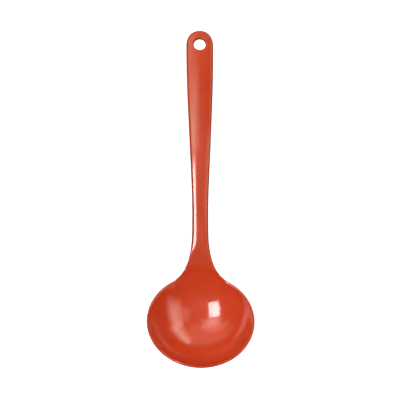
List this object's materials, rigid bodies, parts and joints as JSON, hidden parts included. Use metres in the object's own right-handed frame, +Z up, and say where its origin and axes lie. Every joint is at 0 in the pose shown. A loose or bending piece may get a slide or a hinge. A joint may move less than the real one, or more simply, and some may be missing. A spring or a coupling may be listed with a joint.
{
  "type": "soup ladle",
  "caption": "One-piece moulded soup ladle: round tilted bowl with a rounded lip, flared neck, arched handle and a pierced, rounded hanging end.",
  "frame": {"origin": "bottom centre of the bounding box, with the ladle lying on its back: the bowl's underside and the tip of the handle touch z = 0", "axes": "+X across the ladle, +Y along it towards the hanging end, +Z up, out of the bowl"},
  "size_m": [0.0952, 0.3003, 0.0578],
  "materials": {
    "moulding": "glossy tomato-red melamine"
  },
  "bodies": {
    "root": {"bowl": "moulding", "neck": "moulding", "handle": "moulding", "hanging_end": "moulding"}
  },
  "joints": []
}
